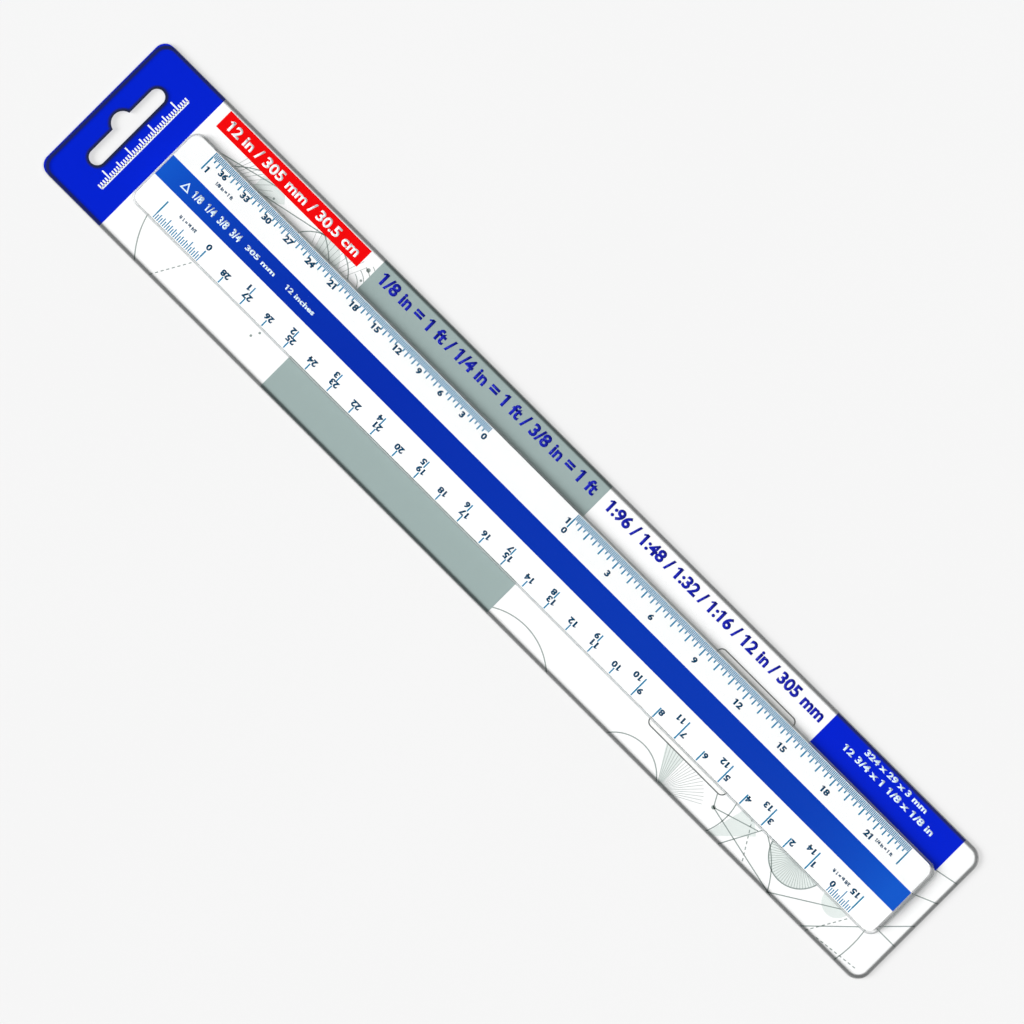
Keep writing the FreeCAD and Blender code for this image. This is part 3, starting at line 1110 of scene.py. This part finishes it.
artSetup = {
    "lineWidth": 0.34 * mm,
    "dash": 1.0 * mm,
    "gap": 0.8 * mm,
    "spoke": 0.12 * mm,
    "ringSides": 96,
    "washSides": 64,
    "dotSides": 16,
    "washDrop": 0.0015 * mm,  # the washes lie this far under the lines
    "nook": 1.5 * mm,  # cut off at the board's rounded corners
}


def addDisc(centre, radius, sides):
    bpy.ops.object.select_all(action="DESELECT")
    bpy.ops.mesh.primitive_circle_add(
        vertices=sides, radius=radius * mm, fill_type="NGON",
        location=(centre[0] * mm, centre[1] * mm, 0),
    )
    disc = bpy.context.object
    bpy.ops.object.transform_apply(location=True, rotation=True, scale=True)
    return disc


def cut(thing, point, direction):
    # removes what lies beyond a line, on the side its direction points to
    selectOnly(thing)
    bpy.ops.object.mode_set(mode="EDIT")
    bpy.ops.mesh.select_all(action="SELECT")
    bpy.ops.mesh.bisect(plane_co=(*point, 0), plane_no=(*direction, 0), clear_outer=True)
    bpy.ops.object.mode_set(mode="OBJECT")


def trimToCard(thing):
    low = cardLow.y + cardPrint["margin"]
    high = cardHigh.y - cardPrint["margin"]
    left = mouth + cardPrint["headerLength"]
    right = cardHigh.x - cardPrint["margin"]
    cut(thing, (0, high), (0, 1))
    cut(thing, (0, low), (0, -1))
    cut(thing, (left, 0), (-1, 0))
    cut(thing, (right, 0), (1, 0))
    cut(thing, (right - artSetup["nook"], low), (1, -1))
    cut(thing, (right - artSetup["nook"], high), (1, 1))


def keepWedge(disc, x, y, start, stop):
    # what lies between two angles about a point, up to half a turn
    point = (x * mm, y * mm)
    first, last = math.radians(start), math.radians(stop)
    cut(disc, point, (math.sin(first), -math.cos(first)))
    cut(disc, point, (-math.sin(last), math.cos(last)))
    return disc


def artRing(x, y, radius, width, start, stop):
    disc = addDisc((x, y), radius + width / 2, artSetup["ringSides"])
    bpy.ops.object.mode_set(mode="EDIT")
    bpy.ops.mesh.select_all(action="SELECT")
    bpy.ops.mesh.inset(thickness=width * mm)
    bpy.ops.mesh.delete(type="FACE")
    bpy.ops.object.mode_set(mode="OBJECT")
    return keepWedge(disc, x, y, start, stop)


def artWash(x, y, radius, start, stop):
    return keepWedge(addDisc((x, y), radius, artSetup["washSides"]), x, y, start, stop)


def artFan(x, y, inner, outer, start, stop, spokes):
    # one spoke, spun round in copies
    first = math.radians(start)
    middle = (inner + outer) / 2
    place = ((x + middle * math.cos(first)) * mm, (y + middle * math.sin(first)) * mm)
    spoke = addBar(place, ((outer - inner) * mm, artSetup["spoke"]), first)
    bpy.ops.object.mode_set(mode="EDIT")
    bpy.ops.mesh.select_all(action="SELECT")
    bpy.ops.mesh.spin(
        steps=spokes - 1, dupli=True, angle=math.radians(stop - start),
        center=(x * mm, y * mm, 0), axis=(0, 0, -1),
    )
    bpy.ops.object.mode_set(mode="OBJECT")
    return spoke


def artLine(x, y, endX, endY, dashed=False):
    length = math.hypot(endX - x, endY - y) * mm
    turn = math.atan2(endY - y, endX - x)
    if not dashed:
        middle = ((x + endX) / 2 * mm, (y + endY) / 2 * mm)
        return addBar(middle, (length, artSetup["lineWidth"]), turn)
    step = artSetup["dash"] + artSetup["gap"]
    bar = addBar((artSetup["dash"] / 2, 0), (artSetup["dash"], artSetup["lineWidth"]))
    repeat(bar, step, int(length / step))
    bar.rotation_euler.z = turn
    bar.location = (x * mm, y * mm, 0)
    bpy.ops.object.transform_apply(location=True, rotation=True, scale=True)
    return bar


def printArt():
    lines = [artRing(*ring) for ring in artRings]
    lines += [artFan(*fan) for fan in artFans]
    lines += [artLine(*chord) for chord in artChords]
    lines += [artLine(*dashes, dashed=True) for dashes in artDashes]
    lines += [addDisc((x, y), radius, artSetup["dotSides"]) for x, y, radius in artDots]
    washes = [artWash(*wash) for wash in artWashes]
    height = cardPrint["artHeight"]
    for name, parts, height, colour in (
        ("drafting_washes", washes, height - artSetup["washDrop"], "artWash"),
        ("drafting_lines", lines, height, "artGrey"),
    ):
        piece = joinAs(name, parts)
        trimToCard(piece)
        layFlat(piece, height, cardPrint["film"])
        finishPiece(piece, "card", printMaterial(name + "_ink", colours[colour]))


# the nodes' materials

def dress(node, material):
    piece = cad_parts[node]
    piece.data.materials.clear()
    piece.data.materials.append(material)


scene.view_settings.view_transform = "Standard"
addCamera(cameraSetup)
addFloor(floorSetup)
addLights(lightSetup)
addSky(skyTones)
print("camera, floor and light set")

dress("backing_card", cardMaterial(cardLook))
dress("square_label", labelMaterial(labelLook))
dress("ruler_body", rulerMaterial(rulerLook))
stripeBlue = stripeMaterial(stripeLook)
dress("blue_stripe_front", stripeBlue)
dress("blue_stripe_back", stripeBlue)
dress("clear_sleeve", sleeveMaterial(sleeveLook))
print("nodes dressed")

printRuler()
print("ruler printed")

printPanels()
printLettering()
printHeader(headerRule)
printArt()
print("card printed")
